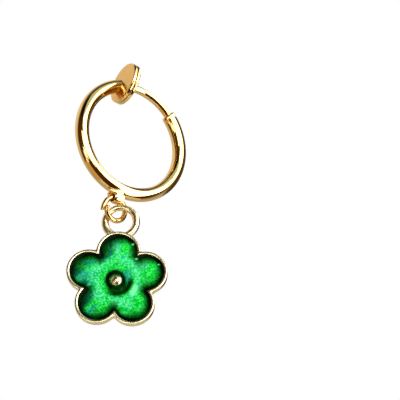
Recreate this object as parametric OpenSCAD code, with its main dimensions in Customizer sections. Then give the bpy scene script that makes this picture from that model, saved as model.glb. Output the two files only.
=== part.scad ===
/* [Hoop] */
// Radius of the hoop's centre line, mm
hoop_r = 5.85; // [5:0.01:9]
// Half of the tube's section, measured along the hoop's radius, mm
tube_half_r = 0.69; // [0.5:0.01:1]
// Half of the tube's section, measured along the hoop's axis, mm
tube_half_y = 0.70; // [0.5:0.01:1]
// Corner radius of the tube's section, mm
tube_corner = 0.60; // [0.1:0.01:0.65]
// Radius of the bore inside the tube, mm
bore_r = 0.45; // [0.3:0.01:0.5]
// Radius of the sliding wire, mm
wire_r = 0.395; // [0.25:0.005:0.45]
// Angle of the tube's mouth, clockwise from the hoop's top, degrees
mouth_a = 45; // [30:1:60]
// Angle where the wire ends inside the tube, degrees
wire_end_a = 80; // [60:1:100]
// Angle where the bore ends inside the tube, degrees
bore_end_a = 150; // [120:1:200]

/* [Clip pads] */
// Radius of a clip pad, mm
pad_r = 2.2; // [1.5:0.05:3]
// Thickness of a clip pad, mm
pad_t = 0.38; // [0.3:0.01:0.6]
// Gap between the two closed pads, mm
pad_gap = 0.04; // [0.02:0.01:0.2]
// Angle of the pads, anticlockwise from the hoop's top, degrees
pad_a = 15.7; // [0:0.1:30]
// Lean of the pads' plane from the vertical, degrees
pad_lean = 8; // [0:0.5:20]
// Distance of the hoop's plane behind the pads' centre, mm
hoop_y = 0.74; // [0:0.01:1.2]

/* [Links] */
// Angle of the soldered eye, left of the hoop's lowest point, degrees
eye_a = 10.5; // [0:0.5:15]
// Radius of the hole in the soldered eye, mm
eye_hole_r = 0.46; // [0.35:0.01:0.6]
// Wall thickness of the soldered eye, mm
eye_wall = 0.18; // [0.15:0.01:0.3]
// Width of the soldered eye along the tube, mm
eye_w = 0.86; // [0.4:0.01:1.2]
// Angle where the jump ring's top lies in the eye, left of the hoop's lowest point, degrees
link_a = 11; // [0:0.5:15]
// Gap between the tube and the jump ring's top, mm
link_gap = 0.08; // [0.03:0.01:0.2]
// Wire radius of the jump ring, mm
jump_wire_r = 0.265; // [0.2:0.01:0.35]
// Centre-line radius of the jump ring, mm
jump_r = 1.22; // [0.9:0.01:1.5]
// Turn of the jump ring about the vertical, degrees
jump_yaw = 5; // [-30:1:30]

/* [Flower] */
// Radius of the circle that the petal centres lie on, mm
petal_c = 2.95; // [2.5:0.01:3.5]
// Outer radius of a petal, mm
petal_r = 2.20; // [1.8:0.005:2.8]
// Width of the raised rim, mm
rim_w = 0.3; // [0.2:0.01:0.5]
// Thickness of the flower from back to rim, mm
flower_t = 0.8; // [0.7:0.05:2]
// Depth of the enamel recess, mm
recess = 0.42; // [0.3:0.05:0.8]
// Radius of the centre dome, mm
dome_r = 0.56; // [0.4:0.01:0.9]
// Turn of the flower about the vertical, degrees
flower_yaw = -36; // [-60:1:60]
// Distance from the hanging ring's centre to the flower's centre, mm
bail_z = 6.28; // [5.8:0.01:7.5]
// Centre-line radius of the hanging ring, mm
bail_r = 1.56; // [1.4:0.01:1.8]
// Section radius of the hanging ring, mm
bail_wire_r = 0.325; // [0.25:0.005:0.4]

/* [Hidden] */
$fn = 96;
cx = hoop_r * sin(pad_a);
cz = -hoop_r * cos(pad_a);
eye_d = hoop_r + tube_half_r + jump_wire_r + link_gap;
ex = cx - eye_d * sin(eye_a);
link_x = cx - eye_d * sin(link_a);
link_z = cz - eye_d * cos(link_a);
jump_z = link_z - jump_r;
flower_x = link_x + 0.6;
flower_y = hoop_y - 0.30;
flower_z = link_z - 2.56 - bail_z;
gold = [0.86, 0.68, 0.36];
pale = [0.85, 0.76, 0.55];
green = [0.03, 0.32, 0.12];

// Turns the flat ring plane XY into the upright hoop plane XZ
module upright() {
    rotate([90, 0, 0]) children();
}

// Nearly round section of the tube, at the hoop's radius
module tube_section() {
    translate([hoop_r, 0]) {
        square([2 * tube_half_r, 2 * (tube_half_y - tube_corner)], center = true);
        square([2 * (tube_half_r - tube_corner), 2 * tube_half_y], center = true);
        for (sx = [-1, 1])
            for (sy = [-1, 1])
                translate([sx * (tube_half_r - tube_corner), sy * (tube_half_y - tube_corner)])
                    circle(r = tube_corner);
    }
}

// Part of a ring of any section between two clock angles of the hoop
module hoop_arc(a0, a1) {
    translate([cx, hoop_y, cz])
        upright()
            rotate([0, 0, 90 - a1])
                rotate_extrude(angle = a1 - a0)
                    children();
}

// Round clip pad with a full-round edge; its gripping side is at the origin, its back towards +X
module pad() {
    rotate([0, 90, 0])
        rotate_extrude()
            union() {
                square([pad_r - pad_t / 2, pad_t]);
                translate([pad_r - pad_t / 2, pad_t / 2]) circle(r = pad_t / 2);
            }
}

// Section of the soldered eye's wall, with a half-round outside
module eye_section() {
    translate([0, -eye_w / 2 + eye_wall]) square([eye_wall, eye_w - 2 * eye_wall]);
    intersection() {
        translate([0, -eye_w / 2]) square([eye_wall, eye_w]);
        for (s = [-1, 1])
            translate([0, s * (eye_w / 2 - eye_wall)]) circle(r = eye_wall);
    }
}

// Hollow C-shaped tube with the fixed pad and the soldered eye
module hoop_tube() {
    color(gold) {
        difference() {
            hoop_arc(mouth_a, 345) tube_section();
            hoop_arc(mouth_a - 3, bore_end_a) translate([hoop_r, 0]) circle(r = bore_r);
            rotate([0, pad_lean, 0])
                translate([-pad_t + 0.1, hoop_y - 2, -3]) cube([4, 4, 4]);
        }
        rotate([0, pad_lean, 0])
            translate([-pad_gap / 2, 0, 0]) mirror([1, 0, 0]) pad();
        translate([ex, hoop_y, link_z])
            rotate([0, 90, 0])
                rotate_extrude()
                    translate([eye_hole_r, 0]) eye_section();
    }
}

// Thinner round wire with the moving pad
module spring_arm() {
    color(gold) {
        difference() {
            hoop_arc(-20, wire_end_a) translate([hoop_r, 0]) circle(r = wire_r);
            rotate([0, pad_lean, 0])
                translate([pad_t - 0.1 - 4, hoop_y - 2, -3]) cube([4, 4, 4]);
        }
        rotate([0, pad_lean, 0])
            translate([pad_gap / 2, 0, 0]) pad();
    }
}

// Small cut ring; the cut is at its left side
module jump_ring() {
    color(gold)
        translate([link_x, hoop_y, jump_z])
            rotate([0, 0, jump_yaw])
                upright()
                    rotate([0, 0, 183])
                        rotate_extrude(angle = 355)
                            translate([jump_r, 0]) circle(r = jump_wire_r);
}

// Five round petals joined round the middle, drawn flat
module petals(r) {
    union() {
        circle(r = petal_c * 0.6);
        for (i = [0 : 4])
            rotate([0, 0, 90 + 72 * i])
                translate([petal_c, 0])
                    circle(r = r);
    }
}

// Moves the flat flower to its hanging place, front towards -Y before the turn
module flower_place() {
    translate([flower_x, flower_y, flower_z])
        rotate([0, 0, flower_yaw])
            upright()
                children();
}

// Cast flower: back plate, wall, rim, centre dome and hanging ring
module flower_setting() {
    color(pale)
        flower_place() {
            difference() {
                union() {
                    translate([0, 0, -flower_t / 2])
                        linear_extrude(height = flower_t) petals(petal_r);
                    translate([0, bail_z, 0])
                        rotate_extrude()
                            translate([bail_r, 0]) circle(r = bail_wire_r);
                }
                translate([0, 0, flower_t / 2 - recess])
                    linear_extrude(height = recess + 1) petals(petal_r - rim_w);
            }
            intersection() {
                translate([0, 0, flower_t / 2 - recess - 0.08])
                    sphere(r = dome_r + 0.1);
                translate([-1, -1, flower_t / 2 - recess - 0.1])
                    cube([2, 2, 2]);
            }
        }
}

// Glossy filling of the petals
module enamel() {
    color(green)
        flower_place()
            difference() {
                translate([0, 0, flower_t / 2 - recess + 0.02])
                    linear_extrude(height = recess - 0.14) petals(petal_r - rim_w - 0.02);
                translate([0, 0, -2])
                    cylinder(r = dome_r + 0.13, h = 6);
            }
}

hoop_tube();
spring_arm();
jump_ring();
flower_setting();
enamel();
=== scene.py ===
from math import asin, atan2, cos, exp, pi, radians, sin

import bmesh
import bpy
from mathutils import Matrix, Vector
from mathutils.kdtree import KDTree


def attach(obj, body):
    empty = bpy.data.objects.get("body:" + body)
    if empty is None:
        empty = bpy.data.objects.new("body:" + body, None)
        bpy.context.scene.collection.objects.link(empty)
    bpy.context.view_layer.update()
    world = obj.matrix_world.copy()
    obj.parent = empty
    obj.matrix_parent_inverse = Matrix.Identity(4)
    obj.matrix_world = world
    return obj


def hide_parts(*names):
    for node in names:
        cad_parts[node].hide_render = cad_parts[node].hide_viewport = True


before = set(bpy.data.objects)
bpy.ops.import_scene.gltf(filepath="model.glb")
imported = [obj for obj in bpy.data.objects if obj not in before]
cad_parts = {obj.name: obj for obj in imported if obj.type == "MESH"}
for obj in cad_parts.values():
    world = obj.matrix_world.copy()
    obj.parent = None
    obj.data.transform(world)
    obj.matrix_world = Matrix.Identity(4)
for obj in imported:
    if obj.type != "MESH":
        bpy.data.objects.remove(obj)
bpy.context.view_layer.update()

# The camera looks up at the hanging earring from its front left, as the photograph does.
# It stands 200 mm away with a long lens, rolled by 4 degrees, and turned a little so that the
# earring keeps its place left of the frame's centre.
MM = 0.001
CAMERA_AWAY = 0.2
TURNED_RIGHT, TURNED_UP = 0.03727, 0.00162
PIVOT = Vector((1.0, 0.0, -13.0)) * MM
AZIMUTH, ELEVATION, ROLL = radians(-30.69), radians(-23.03), radians(4.17)
to_camera = Vector((sin(AZIMUTH) * cos(ELEVATION), -cos(AZIMUTH) * cos(ELEVATION), sin(ELEVATION)))
level = Vector((0, 0, 1)).cross(to_camera).normalized()
upward = to_camera.cross(level)
right = level * cos(ROLL) + upward * sin(ROLL)
up = upward * cos(ROLL) - level * sin(ROLL)

back_axis = (to_camera - right * TURNED_RIGHT - up * TURNED_UP).normalized()
right_axis = (right - back_axis * right.dot(back_axis)).normalized()
up_axis = back_axis.cross(right_axis)
camera_data = bpy.data.cameras.new("camera")
camera_data.lens = 180
camera_data.sensor_width = 36
camera_data.clip_start = 0.005
camera = bpy.data.objects.new("camera", camera_data)
bpy.context.collection.objects.link(camera)
placing = Matrix((right_axis, up_axis, back_axis)).transposed().to_4x4()
placing.translation = PIVOT + to_camera * CAMERA_AWAY
camera.matrix_world = placing
scene = bpy.context.scene
scene.camera = camera
scene.view_settings.view_transform = "Standard"

# The studio: a white surround behind the earring, a dark room on the camera's side with bright soft
# boxes on the right and in front, weak warm and cool fills that only tint the metal, and a small
# plain pale floor well below the hanging earring.
world = bpy.data.worlds.new("studio")
scene.world = world
world.use_nodes = True
sky = world.node_tree
sky.nodes.clear()
direction = sky.nodes.new("ShaderNodeTexCoord")
facing = sky.nodes.new("ShaderNodeVectorMath")
facing.operation = "DOT_PRODUCT"
sky.links.new(direction.outputs["Generated"], facing.inputs[0])
facing.inputs[1].default_value = -to_camera
surround = sky.nodes.new("ShaderNodeValToRGB")
surround.color_ramp.elements[0].position = 0.42
surround.color_ramp.elements[0].color = (0.075, 0.038, 0.012, 1)
surround.color_ramp.elements[1].position = 0.60
surround.color_ramp.elements[1].color = (0.95, 0.92, 0.84, 1)
half = sky.nodes.new("ShaderNodeMath")
half.operation = "MULTIPLY_ADD"
half.inputs[1].default_value = 0.5
half.inputs[2].default_value = 0.5
sky.links.new(facing.outputs["Value"], half.inputs[0])
sky.links.new(half.outputs[0], surround.inputs["Fac"])
height = sky.nodes.new("ShaderNodeVectorMath")
height.operation = "DOT_PRODUCT"
sky.links.new(direction.outputs["Generated"], height.inputs[0])
height.inputs[1].default_value = up
level_mark = sky.nodes.new("ShaderNodeMath")
level_mark.operation = "MULTIPLY_ADD"
level_mark.inputs[1].default_value = 0.5
level_mark.inputs[2].default_value = 0.5
sky.links.new(height.outputs["Value"], level_mark.inputs[0])
falloff = sky.nodes.new("ShaderNodeValToRGB")
falloff.color_ramp.elements[0].position = 0.15
falloff.color_ramp.elements[0].color = (0.55, 0.55, 0.55, 1)
falloff.color_ramp.elements[1].position = 0.70
falloff.color_ramp.elements[1].color = (0.95, 0.95, 0.95, 1)
for mark, shade in ((0.86, 0.90), (0.94, 0.12)):
    stop = falloff.color_ramp.elements.new(mark)
    stop.color = (shade, shade, shade, 1)
sky.links.new(level_mark.outputs[0], falloff.inputs["Fac"])
flag_side = sky.nodes.new("ShaderNodeVectorMath")
flag_side.operation = "DOT_PRODUCT"
sky.links.new(direction.outputs["Generated"], flag_side.inputs[0])
flag_side.inputs[1].default_value = (right * 0.72 + up * 0.25 - to_camera * 0.65).normalized()
flag = sky.nodes.new("ShaderNodeMapRange")
flag.interpolation_type = "SMOOTHSTEP"
flag.inputs["From Min"].default_value = cos(radians(50))
flag.inputs["From Max"].default_value = cos(radians(38))
sky.links.new(flag_side.outputs["Value"], flag.inputs["Value"])
flagged = sky.nodes.new("ShaderNodeMix")
flagged.data_type = "RGBA"
flagged.inputs["B"].default_value = (0.11, 0.07, 0.03, 1)
sky.links.new(flag.outputs[0], flagged.inputs["Factor"])
sky.links.new(surround.outputs["Color"], flagged.inputs["A"])
seen = sky.nodes.new("ShaderNodeLightPath")
reflected = sky.nodes.new("ShaderNodeBackground")
sky.links.new(flagged.outputs["Result"], reflected.inputs["Color"])
sky.links.new(falloff.outputs["Color"], reflected.inputs["Strength"])
white = sky.nodes.new("ShaderNodeBackground")
white.inputs["Color"].default_value = (1.0, 1.0, 1.0, 1)
pick = sky.nodes.new("ShaderNodeMixShader")
sky.links.new(seen.outputs["Is Camera Ray"], pick.inputs["Fac"])
sky.links.new(reflected.outputs[0], pick.inputs[1])
sky.links.new(white.outputs[0], pick.inputs[2])
sky_out = sky.nodes.new("ShaderNodeOutputWorld")
sky.links.new(pick.outputs[0], sky_out.inputs["Surface"])


BOX_AWAY = 0.5


def studio_way(x, y, z):
    """A direction given as the photographer sees it: right, up, towards the camera."""
    return (right * x + up * y + to_camera * z).normalized()


def soft_box(name, way, width, height, radiance, warmth=(1.0, 1.0, 1.0), along=None):
    """A soft box that faces the earring; its long side can be laid along a given direction."""
    light = bpy.data.lights.new(name, "AREA")
    light.shape = "RECTANGLE"
    light.size = width
    light.size_y = height
    light.energy = radiance * pi * width * height
    light.color = warmth
    lamp = bpy.data.objects.new(name, light)
    bpy.context.collection.objects.link(lamp)
    lamp.location = PIVOT + way * BOX_AWAY
    lamp.rotation_euler = way.to_track_quat("Z", "Y").to_euler()
    if along is not None:
        side = along.cross(way).normalized()
        lamp.rotation_euler = Matrix((side, way.cross(side), way)).transposed().to_euler()
    lamp.visible_camera = False
    return lamp


soft_box("right_box", studio_way(0.84, 0.49, 0.24), 0.20, 0.30, 4.2)
soft_box("lower_right_box", studio_way(0.83, -0.12, 0.52), 0.17, 0.56, 4.2)
soft_box("upper_right_box", studio_way(0.60, 0.52, 0.61), 0.30, 0.26, 3.8)
soft_box("front_box", studio_way(0.20, 0.43, 0.88), 0.30, 0.23, 3.4)
soft_box("near_left_box", studio_way(-0.34, 0.12, 0.93), 0.20, 0.12, 3.0)
soft_box("left_fill", studio_way(-0.62, -0.10, 0.78), 0.18, 0.16, 1.4)
soft_box("top_fill", studio_way(0.42, 0.85, 0.30), 0.30, 0.40, 0.8, (0.70, 0.95, 1.0))
soft_box("warm_fill", studio_way(-0.62, -0.62, 0.48), 0.50, 0.40, 0.60, (1.0, 0.70, 0.33))
soft_box("far_right_strip", studio_way(0.70, 0.63, -0.34), 0.13, 0.60, 3.4, along=-to_camera)

FLOOR_Z = -0.25
floor_mesh = bpy.data.meshes.new("floor")
floor_corners = ((-0.10, -0.07), (0.24, -0.07), (0.24, 0.27), (-0.10, 0.27))
floor_mesh.from_pydata([(x, y, FLOOR_Z) for x, y in floor_corners], [], [(0, 1, 2, 3)])
floor = bpy.data.objects.new("floor", floor_mesh)
bpy.context.collection.objects.link(floor)
floor_paint = bpy.data.materials.new("pale_floor")
floor_paint.use_nodes = True
floor_shader = floor_paint.node_tree.nodes["Principled BSDF"]
floor_shader.inputs["Base Color"].default_value = (0.86, 0.86, 0.85, 1)
floor_shader.inputs["Roughness"].default_value = 0.8
floor_mesh.materials.append(floor_paint)

# The hoop tube is brass, drawn to a nearly round section, bent to a ring and gold-plated.
# One end is soldered to the fixed clip pad, the other is open, and a small eye is soldered below.
HOOP_R = 5.85
TUBE_R, TUBE_Y, SQUARENESS = 0.69, 0.70, 2.15
HOOP_Y = 0.74
PAD_ANGLE = radians(15.7)
PAD_LEAN = radians(8)
HOOP_X, HOOP_Z = HOOP_R * sin(PAD_ANGLE), -HOOP_R * cos(PAD_ANGLE)
GOLD = (0.90, 0.56, 0.185, 1)


def plated_group():
    """Colour, roughness and normal of a plated surface: fine grain, faint tone changes and pits."""
    tree = bpy.data.node_groups.new("plated surface", "ShaderNodeTree")
    for label, kind, value in (("Tone", "NodeSocketColor", GOLD), ("Deep Tone", "NodeSocketColor", GOLD),
                               ("Grain Size", "NodeSocketFloat", 0.2), ("Roughness", "NodeSocketFloat", 0.08),
                               ("Ripple", "NodeSocketFloat", 0.02), ("Pits", "NodeSocketFloat", 0.0)):
        socket = tree.interface.new_socket(label, in_out="INPUT", socket_type=kind)
        socket.default_value = value
    for label, kind in (("Color", "NodeSocketColor"), ("Roughness", "NodeSocketFloat"),
                        ("Normal", "NodeSocketVector")):
        tree.interface.new_socket(label, in_out="OUTPUT", socket_type=kind)
    n, link = tree.nodes, tree.links
    given, result = n.new("NodeGroupInput"), n.new("NodeGroupOutput")
    place = n.new("ShaderNodeTexCoord")
    in_mm = n.new("ShaderNodeVectorMath")
    in_mm.operation = "SCALE"
    in_mm.inputs["Scale"].default_value = 1000.0
    link.new(place.outputs["Object"], in_mm.inputs[0])
    fineness = n.new("ShaderNodeMath")
    fineness.operation = "DIVIDE"
    fineness.inputs[0].default_value = 1.0
    link.new(given.outputs["Grain Size"], fineness.inputs[1])
    broad = n.new("ShaderNodeTexNoise")
    broad.inputs["Scale"].default_value = 0.55
    broad.inputs["Detail"].default_value = 3
    link.new(in_mm.outputs[0], broad.inputs["Vector"])
    fine = n.new("ShaderNodeTexNoise")
    fine.inputs["Detail"].default_value = 4
    link.new(in_mm.outputs[0], fine.inputs["Vector"])
    link.new(fineness.outputs[0], fine.inputs["Scale"])
    tones = n.new("ShaderNodeMix")
    tones.data_type = "RGBA"
    link.new(broad.outputs["Fac"], tones.inputs["Factor"])
    link.new(given.outputs["Tone"], tones.inputs["A"])
    link.new(given.outputs["Deep Tone"], tones.inputs["B"])
    link.new(tones.outputs["Result"], result.inputs["Color"])
    wear = n.new("ShaderNodeMath")
    wear.operation = "MULTIPLY_ADD"
    wear.inputs[1].default_value = 0.08
    link.new(fine.outputs["Fac"], wear.inputs[0])
    link.new(given.outputs["Roughness"], wear.inputs[2])
    link.new(wear.outputs[0], result.inputs["Roughness"])
    cells = n.new("ShaderNodeTexVoronoi")
    link.new(in_mm.outputs[0], cells.inputs["Vector"])
    link.new(fineness.outputs[0], cells.inputs["Scale"])
    hollow = n.new("ShaderNodeMapRange")
    hollow.inputs["From Min"].default_value = 0.15
    hollow.inputs["From Max"].default_value = 0.5
    link.new(cells.outputs["Distance"], hollow.inputs["Value"])
    pitted = n.new("ShaderNodeMath")
    pitted.operation = "MULTIPLY"
    link.new(hollow.outputs[0], pitted.inputs[0])
    link.new(given.outputs["Pits"], pitted.inputs[1])
    rippled = n.new("ShaderNodeMath")
    rippled.operation = "MULTIPLY_ADD"
    link.new(fine.outputs["Fac"], rippled.inputs[0])
    link.new(given.outputs["Ripple"], rippled.inputs[1])
    link.new(pitted.outputs[0], rippled.inputs[2])
    relief = n.new("ShaderNodeBump")
    relief.inputs["Strength"].default_value = 1.0
    relief.inputs["Distance"].default_value = 0.001
    link.new(rippled.outputs[0], relief.inputs["Height"])
    link.new(relief.outputs["Normal"], result.inputs["Normal"])
    return tree


PLATED = plated_group()


def plated_metal(name, tone, deep_tone_and_painted_shade, grain, roughness, ripple, pits):
    """A gold-plated metal of two close tones; grain is in mm, ripple and pits are depths in its bump."""
    metal = bpy.data.materials.new(name)
    metal.use_nodes = True
    n, link = metal.node_tree.nodes, metal.node_tree.links
    shader = n["Principled BSDF"]
    shader.inputs["Metallic"].default_value = 1.0
    surface = n.new("ShaderNodeGroup")
    surface.node_tree = PLATED
    surface.inputs["Tone"].default_value = tone
    surface.inputs["Deep Tone"].default_value = deep_tone_and_painted_shade
    surface.inputs["Grain Size"].default_value = grain
    surface.inputs["Roughness"].default_value = roughness
    surface.inputs["Ripple"].default_value = ripple
    surface.inputs["Pits"].default_value = pits
    link.new(surface.outputs["Color"], shader.inputs["Base Color"])
    link.new(surface.outputs["Roughness"], shader.inputs["Roughness"])
    link.new(surface.outputs["Normal"], shader.inputs["Normal"])
    return metal


polished_gold = plated_metal("polished_gold", (0.92, 0.61, 0.235, 1), (0.85, 0.55, 0.20, 1),
                             0.35, 0.03, 0.0015, 0.0)
satin_gold = plated_metal("satin_gold", (0.88, 0.52, 0.15, 1), (0.72, 0.39, 0.09, 1),
                          0.12, 0.20, 0.004, 0.0)


def shell(bm, loops, caps=True):
    """Skins a row of closed loops of points, in mm, and closes both ends with fans."""
    rows = [[bm.verts.new(Vector(p) * MM) for p in loop] for loop in loops]
    for a, b in zip(rows, rows[1:]):
        for i in range(len(a)):
            j = (i + 1) % len(a)
            bm.faces.new((a[i], a[j], b[j], b[i]))
    if caps:
        for row in (rows[0], rows[-1]):
            middle = bm.verts.new(sum((v.co for v in row), Vector()) / len(row))
            for i in range(len(row)):
                bm.faces.new((row[i], row[(i + 1) % len(row)], middle))
    return rows


def finish_piece(name, bm, metals, body, slot, *nodes):
    """Turns a closed mesh into a piece that rides its body and stands for its solids."""
    bmesh.ops.recalc_face_normals(bm, faces=bm.faces)
    mesh = bpy.data.meshes.new(name)
    bm.to_mesh(mesh)
    bm.free()
    mesh.shade_smooth()
    mesh.set_sharp_from_angle(angle=radians(38))
    for metal in metals:
        mesh.materials.append(metal)
    piece = bpy.data.objects.new(name, mesh)
    bpy.context.collection.objects.link(piece)
    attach(piece, body)
    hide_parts(*nodes)
    return piece


def tube_section(inset=0.0):
    """Points of the nearly round section: distance out along the hoop's radius, and along its axis."""
    points = []
    for k in range(56):
        c, s = cos(2 * pi * k / 56), sin(2 * pi * k / 56)
        swell = 1 / (abs(c) ** SQUARENESS + abs(s) ** SQUARENESS) ** (1 / SQUARENESS)
        points.append(((TUBE_R - inset) * c * swell, (TUBE_Y - inset) * s * swell))
    return points


def on_hoop(clock, section):
    """Stands a section on the hoop at a clock angle, clockwise from the top."""
    c = radians(clock)
    return [(HOOP_X + (HOOP_R + r) * sin(c), HOOP_Y + y, HOOP_Z + (HOOP_R + r) * cos(c)) for r, y in section]


def bore_section(radius):
    """The round bore, with its points in the same directions as the tube's."""
    return [(radius * cos(atan2(y, r)), radius * sin(atan2(y, r))) for r, y in tube_section()]


def across_pads(point):
    """How far a point lies from the pads' common plane, towards the moving pad."""
    return point[0] * cos(PAD_LEAN) - point[2] * sin(PAD_LEAN)


def pad_shell(bm, side):
    """A round clip pad: flat where it grips, with a softly rounded outer edge and a satin back."""
    profile = [(0.02, 1.0), (0.02, 2.12), (0.03, 2.155), (0.06, 2.177), (0.09, 2.185), (0.29, 2.185),
               (0.335, 2.17), (0.37, 2.14), (0.39, 2.09), (0.40, 2.03), (0.40, 1.0)]
    loops = []
    for x, r in profile:
        ring = [(side * x, r * cos(2 * pi * k / 96), r * sin(2 * pi * k / 96)) for k in range(96)]
        loops.append([(a * cos(PAD_LEAN) + c * sin(PAD_LEAN), b, c * cos(PAD_LEAN) - a * sin(PAD_LEAN))
                      for a, b, c in ring])
    old = set(bm.faces)
    rows = shell(bm, loops)
    satin = set(rows[-2] + rows[-1])
    for face in bm.faces:
        if face not in old and sum(v in satin for v in face.verts) >= 2:
            face.material_index = 1


def meet_pad(place, depth):
    """Slides one point of the section along the hoop until it is inside the fixed pad."""
    low, high = 325.0, 352.0
    for _ in range(40):
        middle = (low + high) / 2
        if across_pads(on_hoop(middle, [place])[0]) < depth:
            low = middle
        else:
            high = middle
    return on_hoop(low, [place])[0]


MOUTH = 45.0
BORE_R = 0.45
tube = bmesh.new()
loops = [[meet_pad(place, -0.25) for place in tube_section()]]
loops += [on_hoop(334.0 - 2 * k, tube_section()) for k in range(143)]
loops += [on_hoop(MOUTH + 2.0, tube_section(0.004)), on_hoop(MOUTH + 1.1, tube_section(0.025)),
          on_hoop(MOUTH + 0.5, tube_section(0.055)), on_hoop(MOUTH + 0.15, tube_section(0.09)),
          on_hoop(MOUTH, tube_section(0.135)), on_hoop(MOUTH, bore_section(0.465)),
          on_hoop(MOUTH + 0.3, bore_section(BORE_R))]
loops += [on_hoop(MOUTH + 2 + 4 * k, bore_section(BORE_R)) for k in range(26)]
shell(tube, loops)
pad_shell(tube, -1)

# The eye is a short sleeve soldered under the tube. The jump ring's top lies in it, a little to its
# left, so the sleeve opens towards its right end, clear of the ring's bend.
JUMP_R, JUMP_WIRE, LINK_GAP = 1.22, 0.265, 0.08
EYE_AT = HOOP_R + TUBE_R + JUMP_WIRE + LINK_GAP
EYE_X = HOOP_X - EYE_AT * sin(radians(10.5))
LINK_X, LINK_Z = HOOP_X - EYE_AT * sin(radians(11)), HOOP_Z - EYE_AT * cos(radians(11))
EYE_IN, EYE_WALL, EYE_FLARE = 0.46, 0.18, 0.10
EYE_LEFT, EYE_RIGHT = 0.43, 0.60
eye_loops = []
for k in range(28):
    t = 2 * pi * k / 28
    along = (EYE_RIGHT if sin(t) > 0 else EYE_LEFT) * max(-1, min(1, 1.15 * sin(t)))
    thickness = EYE_WALL * (0.5 + 0.5 * max(-1, min(1, 1.1 * cos(t)))) * (1 - 0.25 * abs(sin(t)) ** 4)
    out = EYE_IN + thickness + EYE_FLARE * max(0.0, sin(t)) ** 4
    turns = [2 * pi * j / 48 for j in range(48)]
    eye_loops.append([(EYE_X + along, HOOP_Y + out * cos(a), LINK_Z + out * sin(a)) for a in turns])
shell(tube, eye_loops + [eye_loops[0]], caps=False)
bmesh.ops.remove_doubles(tube, verts=tube.verts, dist=1e-9)
solder_gold = plated_metal("solder_gold", (0.95, 0.70, 0.32, 1), (0.88, 0.60, 0.24, 1),
                           0.30, 0.16, 0.02, 0.004)

# Four blobs of solder: how far each lies left of the eye, behind the hoop's plane and above the
# link, and half of its length, width and height.
SOLDER = (
    (0.0, -0.50, 0.41, 0.80, 0.19, 0.34), (0.0, 0.50, 0.41, 0.80, 0.19, 0.34),
    (0.06, 0.00, 0.51, 0.70, 0.40, 0.12), (0.57, -0.42, 0.43, 0.60, 0.21, 0.20))
for left, back, rise, length, wide, high in SOLDER:
    fillet = []
    for k in range(1, 16):
        t = pi * k / 16
        fillet.append([(EYE_X - left - length * cos(t), HOOP_Y + back + wide * sin(t) * cos(pi * j / 12),
                        LINK_Z + rise + high * sin(t) * sin(pi * j / 12)) for j in range(24)])
    old = set(tube.faces)
    shell(tube, fillet)
    for face in tube.faces:
        if face not in old:
            face.material_index = 2
finish_piece("hoop_and_fixed_pad", tube, (polished_gold, satin_gold, solder_gold),
             "hoop", "gold", "hoop_tube")

# The spring arm is a round gold-plated wire bent to the hoop's curve. It slides out of the tube's
# mouth against a hidden spring, and its free end is soldered to the moving clip pad.
WIRE_R = 0.395


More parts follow.
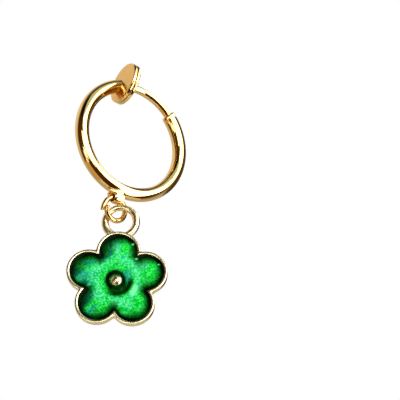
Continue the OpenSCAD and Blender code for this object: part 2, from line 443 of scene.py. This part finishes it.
def wire_tree():
    """Geometry nodes for a round wire bent to an arc or closed to a ring, smooth or unevenly cast."""
    tree = bpy.data.node_groups.new("bent wire", "GeometryNodeTree")
    for label, kind, value in (("Bend Radius", "NodeSocketFloat", 1.0),
                               ("Wire Radius", "NodeSocketFloat", 0.2),
                               ("Start", "NodeSocketFloat", 0.0), ("Sweep", "NodeSocketFloat", pi),
                               ("Closed", "NodeSocketBool", False), ("Unevenness", "NodeSocketFloat", 0.0),
                               ("Steps", "NodeSocketInt", 96), ("Metal", "NodeSocketMaterial", None)):
        socket = tree.interface.new_socket(label, in_out="INPUT", socket_type=kind)
        if value is not None:
            socket.default_value = value
    tree.interface.new_socket("Wire", in_out="OUTPUT", socket_type="NodeSocketGeometry")
    n, link = tree.nodes, tree.links
    given, result = n.new("NodeGroupInput"), n.new("NodeGroupOutput")
    arc = n.new("GeometryNodeCurveArc")
    link.new(given.outputs["Steps"], arc.inputs["Resolution"])
    link.new(given.outputs["Bend Radius"], arc.inputs["Radius"])
    link.new(given.outputs["Start"], arc.inputs["Start Angle"])
    link.new(given.outputs["Sweep"], arc.inputs["Sweep Angle"])
    ring = n.new("GeometryNodeCurvePrimitiveCircle")
    link.new(given.outputs["Steps"], ring.inputs["Resolution"])
    link.new(given.outputs["Bend Radius"], ring.inputs["Radius"])
    either = n.new("GeometryNodeSwitch")
    either.input_type = "GEOMETRY"
    link.new(given.outputs["Closed"], either.inputs["Switch"])
    link.new(arc.outputs["Curve"], either.inputs["False"])
    link.new(ring.outputs["Curve"], either.inputs["True"])
    section = n.new("GeometryNodeCurvePrimitiveCircle")
    section.inputs["Resolution"].default_value = 28
    link.new(given.outputs["Wire Radius"], section.inputs["Radius"])
    sweep = n.new("GeometryNodeCurveToMesh")
    sweep.inputs["Fill Caps"].default_value = True
    link.new(either.outputs["Output"], sweep.inputs["Curve"])
    link.new(section.outputs["Curve"], sweep.inputs["Profile Curve"])
    lumps = n.new("ShaderNodeTexNoise")
    lumps.inputs["Scale"].default_value = 2600.0
    lumps.inputs["Detail"].default_value = 2
    centred = n.new("ShaderNodeMath")
    centred.operation = "SUBTRACT"
    centred.inputs[1].default_value = 0.55
    link.new(lumps.outputs["Fac"], centred.inputs[0])
    amount = n.new("ShaderNodeMath")
    amount.operation = "MULTIPLY"
    link.new(centred.outputs[0], amount.inputs[0])
    link.new(given.outputs["Unevenness"], amount.inputs[1])
    normal = n.new("GeometryNodeInputNormal")
    push = n.new("ShaderNodeVectorMath")
    push.operation = "SCALE"
    link.new(normal.outputs["Normal"], push.inputs[0])
    link.new(amount.outputs[0], push.inputs["Scale"])
    worked = n.new("GeometryNodeSetPosition")
    link.new(sweep.outputs["Mesh"], worked.inputs["Geometry"])
    link.new(push.outputs["Vector"], worked.inputs["Offset"])
    real = n.new("GeometryNodeRealizeInstances")
    link.new(worked.outputs["Geometry"], real.inputs["Geometry"])
    plated = n.new("GeometryNodeSetMaterial")
    link.new(real.outputs["Geometry"], plated.inputs["Geometry"])
    link.new(given.outputs["Metal"], plated.inputs["Material"])
    link.new(plated.outputs["Geometry"], result.inputs["Wire"])
    return tree


BENT_WIRE = wire_tree()


def bent_wire(metal, placing, **sizes):
    """Makes a wire with the geometry nodes and returns it as a plain mesh, put in its place."""
    holder = bpy.data.objects.new("wire_maker", bpy.data.meshes.new("wire_maker"))
    bpy.context.collection.objects.link(holder)
    modifier = holder.modifiers.new("bent wire", "NODES")
    modifier.node_group = BENT_WIRE
    for item in BENT_WIRE.interface.items_tree:
        if item.in_out == "INPUT" and item.name in sizes:
            modifier[item.identifier] = sizes[item.name]
        if item.in_out == "INPUT" and item.name == "Metal":
            modifier[item.identifier] = metal
    evaluated = holder.evaluated_get(bpy.context.evaluated_depsgraph_get())
    mesh = bpy.data.meshes.new_from_object(evaluated)
    bpy.data.objects.remove(holder)
    mesh.transform(placing)
    return mesh


UPRIGHT = Matrix.Rotation(pi / 2, 4, "X")
hoop_place = Matrix.Translation(Vector((HOOP_X, HOOP_Y, HOOP_Z)) * MM) @ UPRIGHT
wire_mesh = bent_wire(polished_gold, hoop_place, **{
    "Bend Radius": HOOP_R * MM, "Wire Radius": WIRE_R * MM, "Start": radians(90 - 80),
    "Sweep": radians(80 + 13.45), "Steps": 96})
arm = bmesh.new()
arm.from_mesh(wire_mesh)
pad_shell(arm, 1)
finish_piece("sliding_wire_and_pad", arm, (polished_gold, satin_gold), "arm", "gold", "spring_arm")

# The jump ring is a small cut ring of gold-plated wire. Its two ends overlap a little and lie side
# by side at the left, as they do after it has been closed by hand.
RING_STEPS, RING_SIDES = 84, 28
ENDS_ASIDE, ENDS_SHORT = 0.285, 0.07
JUMP_Z = LINK_Z - JUMP_R
jump_place = (Matrix.Translation(Vector((LINK_X, HOOP_Y, JUMP_Z)) * MM)
              @ Matrix.Rotation(radians(5), 4, "Z") @ UPRIGHT)
ring_gold = plated_metal("jump_ring_gold", (0.84, 0.55, 0.22, 1), (0.72, 0.43, 0.15, 1),
                         0.2, 0.05, 0.006, 0.0)
ring_mesh = bent_wire(ring_gold, Matrix.Identity(4), **{
    "Bend Radius": JUMP_R * MM, "Wire Radius": (JUMP_WIRE - 0.003) * MM, "Start": radians(183),
    "Sweep": radians(372), "Steps": RING_STEPS})
for vertex in ring_mesh.vertices:
    turn = (vertex.index // RING_SIDES) / (RING_STEPS - 1)
    vertex.co.z -= ENDS_ASIDE * MM * (2 * turn - 1) ** 5
    vertex.co.x -= ENDS_SHORT * MM * (2 * turn - 1) ** 5
ring_mesh.transform(jump_place)
link_ring = bmesh.new()
link_ring.from_mesh(ring_mesh)
finish_piece("jump_ring_closed", link_ring, (ring_gold,), "drop", "gold", "jump_ring")

# The flower is one pale gold-plated casting: a back plate, an outer wall with a narrow raised rim
# round five petals, a small centre dome and the hanging ring, with the pits that casting leaves.
PETAL_AT, PETAL_R, RIM = 2.95, 2.20, 0.30
FLOWER_THICK, RECESS = 0.80, 0.42
BAIL_Z, BAIL_R, BAIL_WIRE = 6.28, 1.56, 0.325
FLOWER_X, FLOWER_Y = LINK_X + 0.60, HOOP_Y - 0.30
FLOWER_Z = LINK_Z - 2.56 - BAIL_Z
flower_place = (Matrix.Translation(Vector((FLOWER_X, FLOWER_Y, FLOWER_Z)) * MM)
                @ Matrix.Rotation(radians(-36), 4, "Z") @ UPRIGHT)
cast_gold = plated_metal("cast_pale_gold", (0.97, 0.86, 0.53, 1), (0.94, 0.79, 0.43, 1),
                         0.16, 0.22, 0.003, 0.004)


def petal_outline(radius, per_petal=48):
    """The outline of five round petals, drawn flat, with each notch slightly rounded."""
    half = PETAL_AT * sin(pi / 5)
    reach = pi / 5 + asin(half / radius)
    points = []
    for petal in range(5):
        heading = pi / 2 + 2 * pi / 5 * petal
        for k in range(per_petal):
            turn = reach * (2 * (k + 0.5) / per_petal - 1)
            points.append(Vector((PETAL_AT * cos(heading) + radius * cos(heading + turn),
                                  PETAL_AT * sin(heading) + radius * sin(heading + turn))))
    count = len(points)
    for _ in range(2):
        points = [(points[i - 1] + points[i] * 2 + points[(i + 1) % count]) / 4 for i in range(count)]
    return points


casting = bmesh.new()
top, bottom = FLOWER_THICK / 2, -FLOWER_THICK / 2
walls = [(PETAL_R - 0.30, bottom), (PETAL_R - 0.12, bottom), (PETAL_R - 0.04, bottom + 0.03),
         (PETAL_R, bottom + 0.12), (PETAL_R, top - 0.10), (PETAL_R - 0.03, top - 0.03), (PETAL_R - 0.09, top),
         (PETAL_R - RIM + 0.09, top), (PETAL_R - RIM + 0.02, top - 0.04), (PETAL_R - RIM, top - 0.12),
         (PETAL_R - RIM, top - RECESS)]
shell(casting, [[(p.x, p.y, z) for p in petal_outline(r)] for r, z in walls])
dome = []
for k in range(10):
    t = k / 9 * pi / 2
    dome.append([(0.64 * cos(t) * cos(2 * pi * j / 40), 0.64 * cos(t) * sin(2 * pi * j / 40),
                  top - RECESS - 0.02 + 0.56 * sin(t)) for j in range(40)])
dome = [[(x, y, top - RECESS - 0.08) for x, y, _ in dome[0]]] + dome[:-1]
shell(casting, dome)

# The hanging ring is thicker at its sides than at its top, and where it would reach into the
# enamel's recess it is pushed out into the top petal's wall.
bail = bent_wire(cast_gold, Matrix.Identity(4), **{
    "Bend Radius": BAIL_R * MM, "Wire Radius": (BAIL_WIRE - 0.006) * MM, "Closed": True,
    "Unevenness": 0.03 * MM, "Steps": 128})
for vertex in bail.vertices:
    spoke = Vector((vertex.co.x, vertex.co.y, 0)).normalized()
    stouter = 1 + 0.17 * max(0.0, min(1.0, (0.75 - spoke.y) / 0.45))
    middle = spoke * BAIL_R * MM
    vertex.co = middle + (vertex.co - middle) * stouter
bail.transform(Matrix.Translation(Vector((0, BAIL_Z, 0)) * MM))
in_wall = (PETAL_R - 0.16) * MM
for vertex in bail.vertices:
    away = Vector((vertex.co.x, vertex.co.y - PETAL_AT * MM, 0))
    if away.length < in_wall:
        vertex.co += away.normalized() * (in_wall - away.length)
casting.from_mesh(bail)
bmesh.ops.transform(casting, matrix=flower_place, verts=casting.verts)
finish_piece("flower_casting", casting, (cast_gold,), "drop", "pale_gold", "flower_setting")

# The enamel is a glossy green glaze, poured into the petals over a grained floor. Painted shade darkens it
# along the walls, most of all at the upper left, and it turns teal in some pools, partly as painted
# reflection.
enamel_r = PETAL_R - RIM - 0.02
outline = petal_outline(enamel_r)
pool = bmesh.new()
painted_shade_layer = pool.verts.layers.float.new("deep_tone_and_painted_shade")
teal_layer = pool.verts.layers.float.new("teal")
mint_layer = pool.verts.layers.float.new("mint")
painted_glint_layer = pool.verts.layers.float.new("painted_glint")

# Pools of another green: where each starts and ends, and its half width, in mm.
# The teal pools are partly the glaze's own colour and partly painted reflection haze; the mint pools are
# partly its own paler green and partly painted highlight.
TEAL_POOLS = [((-3.8, 0.45), (-2.5, 0.5), 0.50), ((-3.3, -0.2), (-2.4, -0.5), 0.32),
              ((-3.2, 1.7), (-2.2, 1.8), 0.28), ((-3.25, -3.0), (-2.3, -1.5), 0.28),
              ((-2.6, -3.5), (-2.3, -3.7), 0.22), ((0.8, 0.75), (1.1, 0.9), 0.28),
              ((1.15, 0.9), (1.1, 0.0), 0.30), ((0.25, -3.6), (0.95, -4.0), 0.22),
              ((-2.4, -3.4), (-2.0, -2.9), 0.22), ((-0.3, 4.0), (0.0, 3.5), 0.25),
              ((-0.6, 3.6), (-0.85, 2.6), 0.28), ((-1.7, 2.2), (-1.2, 2.4), 0.28)]
MINT_POOLS = [((-0.35, 3.9), (0.15, 2.3), 0.32), ((0.8, 2.1), (1.9, 1.8), 0.34),
              ((1.9, 1.8), (2.6, 1.6), 0.36), ((-2.1, -0.3), (-1.8, -1.9), 0.26),
              ((-0.1, -1.95), (1.5, -2.6), 0.34), ((-1.8, 1.4), (-2.4, 0.9), 0.2),
              ((1.65, -1.8), (1.5, -1.1), 0.16), ((2.2, -0.2), (1.8, 1.1), 0.28),
              ((0.9, 3.0), (0.8, 2.2), 0.2), ((-2.9, 0.9), (-2.3, 0.7), 0.22)]

# How far the shade reaches in from a wall, in mm, for walls on the right and on every 45 degrees round.
SHADE_REACH = (1.15, 0.85, 1.5, 2.3, 2.4, 0.65, 1.55, 1.3)

# Three tiny painted highlights in the glaze near the petals' walls: pale specks for the walls' shining edges.
PAINTED_GLINT_SPECKS = ((1.42, 3.82), (1.84, 2.30), (4.05, 1.82))


def from_line(p, a, b):
    a, b = Vector(a), Vector(b)
    t = max(0.0, min(1.0, (p - a).dot(b - a) / (b - a).length_squared))
    return (p - a - (b - a) * t).length


def smooth(low, high, value):
    t = max(0.0, min(1.0, (value - low) / (high - low)))
    return t * t * (3 - 2 * t)


wall_points = KDTree(len(outline))
for index, point in enumerate(outline):
    wall_points.insert((point.x, point.y, 0), index)
wall_points.balance()


def glaze_vertex(x, y):
    """One point of the glaze's top: its height, its painted shade, how teal and how pale it is, and its
    painted highlight.
    """
    p = Vector((x, y))
    outwards = p.normalized()
    foot, _, wall = wall_points.find((x, y, 0))
    outward = (foot.xy - p).normalized() if wall > 1e-6 else outwards
    turn = atan2(outward.y, outward.x) / (pi / 4) % 8
    before, part = int(turn) % 8, smooth(0, 1, turn % 1)
    reach = SHADE_REACH[before] * (1 - part) + SHADE_REACH[(before + 1) % 8] * part
    reach = min(reach, 0.65 + 1.1 * max(0.0, p.length - 1.6))
    # Painted shade in one mask: dark along the walls as far as the reach goes, a dark ring round the centre
    # dome that is narrower on its lit right side, and a dark arc and a shadow patch below right of the dome.
    deep_tone_and_painted_shade = 1 - smooth(0.2, max(reach, 0.4), wall)
    sunlit = max(0.0, outwards.dot(Vector((0.90, 0.43)))) ** 2
    ring = 1 - smooth(0.28, 0.60, abs(p.length - 0.72 + 0.20 * sunlit))
    arc = 1 - smooth(0.14, 0.44, abs(p.length - 1.42))
    arc *= smooth(0.20, 0.75, outwards.dot(Vector((0.60, -0.80))))
    shade = 0.93 * (1 - smooth(0.80, 1.35, (p - Vector((0.15, -0.65))).length))
    deep_tone_and_painted_shade = max(deep_tone_and_painted_shade, ring * 0.98, shade, arc * 0.97)
    teal = max(1 - smooth(0.0, r * 2.0, from_line(p, a, b)) for a, b, r in TEAL_POOLS)
    mint = max(1 - smooth(0.0, r * 2.0, from_line(p, a, b)) for a, b, r in MINT_POOLS)
    # A faint mint band round the dome and a brighter one on its left: partly the glaze's paler green, partly
    # painted highlight.
    mint = max(mint, 0.5 * smooth(1.4, 2.0, p.length) * (1 - smooth(2.2, 3.1, p.length)))
    mint = max(mint, 0.85 * (1 - smooth(0.15, 0.42, abs(p.length - 2.0))) * smooth(0.1, 0.7, -outwards.x))
    # Painted highlight: a pale green glint patch right of the dome, and the pale specks, which also clear the
    # painted shade.
    painted_glint = 1 - smooth(0.16, 0.30, from_line(p, (1.95, -0.62), (1.72, -1.35)))
    if any((p - Vector(speck)).length < 0.11 for speck in PAINTED_GLINT_SPECKS):
        deep_tone_and_painted_shade, painted_glint = 0.0, 1.0
    height = top - 0.10 - 0.08 * (1 - exp(-max(wall, 0) / 0.2)) + 0.05 * smooth(0.0, 1.6, wall)
    return height, deep_tone_and_painted_shade, teal, mint, painted_glint


GLAZE_STEPS = 45
DOME_CLEAR = 0.66
floor_z = top - RECESS + 0.02
rows = [[pool.verts.new((p.x, p.y, floor_z)) for p in outline]]
# The glaze's foot against the walls is fully in painted shade.
for v in rows[0]:
    v[painted_shade_layer] = 1.0
for step in range(GLAZE_STEPS + 1):
    row = []
    for p in outline:
        inner = p.normalized() * DOME_CLEAR
        x = inner.x + (p.x - inner.x) * (1 - step / GLAZE_STEPS)
        y = inner.y + (p.y - inner.y) * (1 - step / GLAZE_STEPS)
        height, deep_tone_and_painted_shade, teal, mint, painted_glint = glaze_vertex(x, y)
        v = pool.verts.new((x, y, height))
        v[painted_shade_layer], v[teal_layer], v[mint_layer], v[painted_glint_layer] = deep_tone_and_painted_shade, teal, mint, painted_glint
        row.append(v)
    rows.append(row)
row = [pool.verts.new((v.co.x, v.co.y, floor_z)) for v in rows[-1]]
rows.append(row)
rows.append(rows[0])
for a, b in zip(rows, rows[1:]):
    for i in range(len(a)):
        j = (i + 1) % len(a)
        pool.faces.new((a[i], a[j], b[j], b[i]))
for v in pool.verts:
    v.co = v.co * MM
bmesh.ops.transform(pool, matrix=flower_place, verts=pool.verts)

glaze = bpy.data.materials.new("green_glaze")
glaze.use_nodes = True
n, link = glaze.node_tree.nodes, glaze.node_tree.links
shader = n["Principled BSDF"]
shader.inputs["Roughness"].default_value = 0.3
shader.inputs["Specular IOR Level"].default_value = 0.02
shader.inputs["Coat Weight"].default_value = 0.03
shader.inputs["Coat Roughness"].default_value = 0.03
place = n.new("ShaderNodeTexCoord")
grains = n.new("ShaderNodeTexNoise")
grains.inputs["Scale"].default_value = 5200.0
grains.inputs["Detail"].default_value = 3
grains.inputs["Roughness"].default_value = 0.65
link.new(place.outputs["Object"], grains.inputs["Vector"])
clouds = n.new("ShaderNodeTexNoise")
clouds.inputs["Scale"].default_value = 900.0
clouds.inputs["Detail"].default_value = 2
link.new(place.outputs["Object"], clouds.inputs["Vector"])
streaks = n.new("ShaderNodeTexNoise")
streaks.inputs["Scale"].default_value = 2300.0
streaks.inputs["Detail"].default_value = 2
streaks.inputs["Distortion"].default_value = 0.6
link.new(place.outputs["Object"], streaks.inputs["Vector"])
grain_tone = n.new("ShaderNodeValToRGB")
grain_tone.color_ramp.elements[0].position = 0.41
grain_tone.color_ramp.elements[0].color = (0.0, 0.42, 0.01, 1)
grain_tone.color_ramp.elements[1].position = 0.61
grain_tone.color_ramp.elements[1].color = (0.06, 0.98, 0.11, 1)
middle = grain_tone.color_ramp.elements.new(0.52)
middle.color = (0.0, 0.80, 0.05, 1)
link.new(grains.outputs["Fac"], grain_tone.inputs["Fac"])
teal_tone = n.new("ShaderNodeValToRGB")
teal_tone.color_ramp.elements[0].position = 0.35
teal_tone.color_ramp.elements[0].color = (0.006, 0.22, 0.13, 1)
teal_tone.color_ramp.elements[1].position = 0.70
teal_tone.color_ramp.elements[1].color = (0.03, 0.62, 0.38, 1)
link.new(grains.outputs["Fac"], teal_tone.inputs["Fac"])
mint_tone = n.new("ShaderNodeValToRGB")
mint_tone.color_ramp.elements[0].position = 0.42
mint_tone.color_ramp.elements[0].color = (0.0, 0.66, 0.18, 1)
mint_tone.color_ramp.elements[1].position = 0.61
mint_tone.color_ramp.elements[1].color = (0.16, 1.0, 0.42, 1)
link.new(grains.outputs["Fac"], mint_tone.inputs["Fac"])


def reading(name):
    """One of the glaze's own masks, kept on its points."""
    node = n.new("ShaderNodeAttribute")
    node.attribute_name = name
    return node


def blended(factor, a, b):
    """Two colours mixed by a mask."""
    mix = n.new("ShaderNodeMix")
    mix.data_type = "RGBA"
    link.new(factor, mix.inputs["Factor"])
    link.new(a, mix.inputs["A"])
    if isinstance(b, tuple):
        mix.inputs["B"].default_value = b
    else:
        link.new(b, mix.inputs["B"])
    return mix.outputs["Result"]


def wobbled(fac, amount, noise=None):
    """Adds cloud noise to a mask so that its edge isn't even."""
    shifted = n.new("ShaderNodeMath")
    shifted.operation = "MULTIPLY_ADD"
    link.new((noise or clouds).outputs["Fac"], shifted.inputs[0])
    shifted.inputs[1].default_value = amount
    shifted.inputs[2].default_value = -amount / 2
    added = n.new("ShaderNodeMath")
    added.operation = "ADD"
    added.use_clamp = True
    link.new(fac, added.inputs[0])
    link.new(shifted.outputs[0], added.inputs[1])
    return added.outputs[0]


colour = grain_tone.outputs["Color"]
# The teal and mint pools, partly painted reflection and painted highlight, are laid over the grain's colour.
colour = blended(wobbled(reading("teal").outputs["Fac"], 0.5), colour, teal_tone.outputs["Color"])
colour = blended(wobbled(reading("mint").outputs["Fac"], 2.6, streaks), colour, mint_tone.outputs["Color"])
# Painted highlight: the glint mask turns the glaze pale green.
colour = blended(reading("painted_glint").outputs["Fac"], colour, (0.22, 1.0, 0.45, 1))
# Painted shade: the shade mask darkens the glaze's colour to near black.
darkening = n.new("ShaderNodeValToRGB")
darkening.color_ramp.elements[0].position = 0.0
darkening.color_ramp.elements[0].color = (1, 1, 1, 1)
darkening.color_ramp.elements[1].position = 1.0
darkening.color_ramp.elements[1].color = (0.0, 0.008, 0.0, 1)
halfway = darkening.color_ramp.elements.new(0.5)
halfway.color = (0.40, 0.50, 0.42, 1)
link.new(wobbled(reading("deep_tone_and_painted_shade").outputs["Fac"], 0.16), darkening.inputs["Fac"])
multiply = n.new("ShaderNodeMix")
multiply.data_type = "RGBA"
multiply.blend_type = "MULTIPLY"
multiply.inputs["Factor"].default_value = 1.0
link.new(colour, multiply.inputs["A"])
link.new(darkening.outputs["Color"], multiply.inputs["B"])
link.new(multiply.outputs["Result"], shader.inputs["Base Color"])
skin = n.new("ShaderNodeBump")
skin.inputs["Distance"].default_value = 0.00002
skin.inputs["Strength"].default_value = 0.5
link.new(clouds.outputs["Fac"], skin.inputs["Height"])
link.new(skin.outputs["Normal"], shader.inputs["Normal"])
finish_piece("green_enamel_pool", pool, (glaze,), "drop", "green_enamel", "enamel")
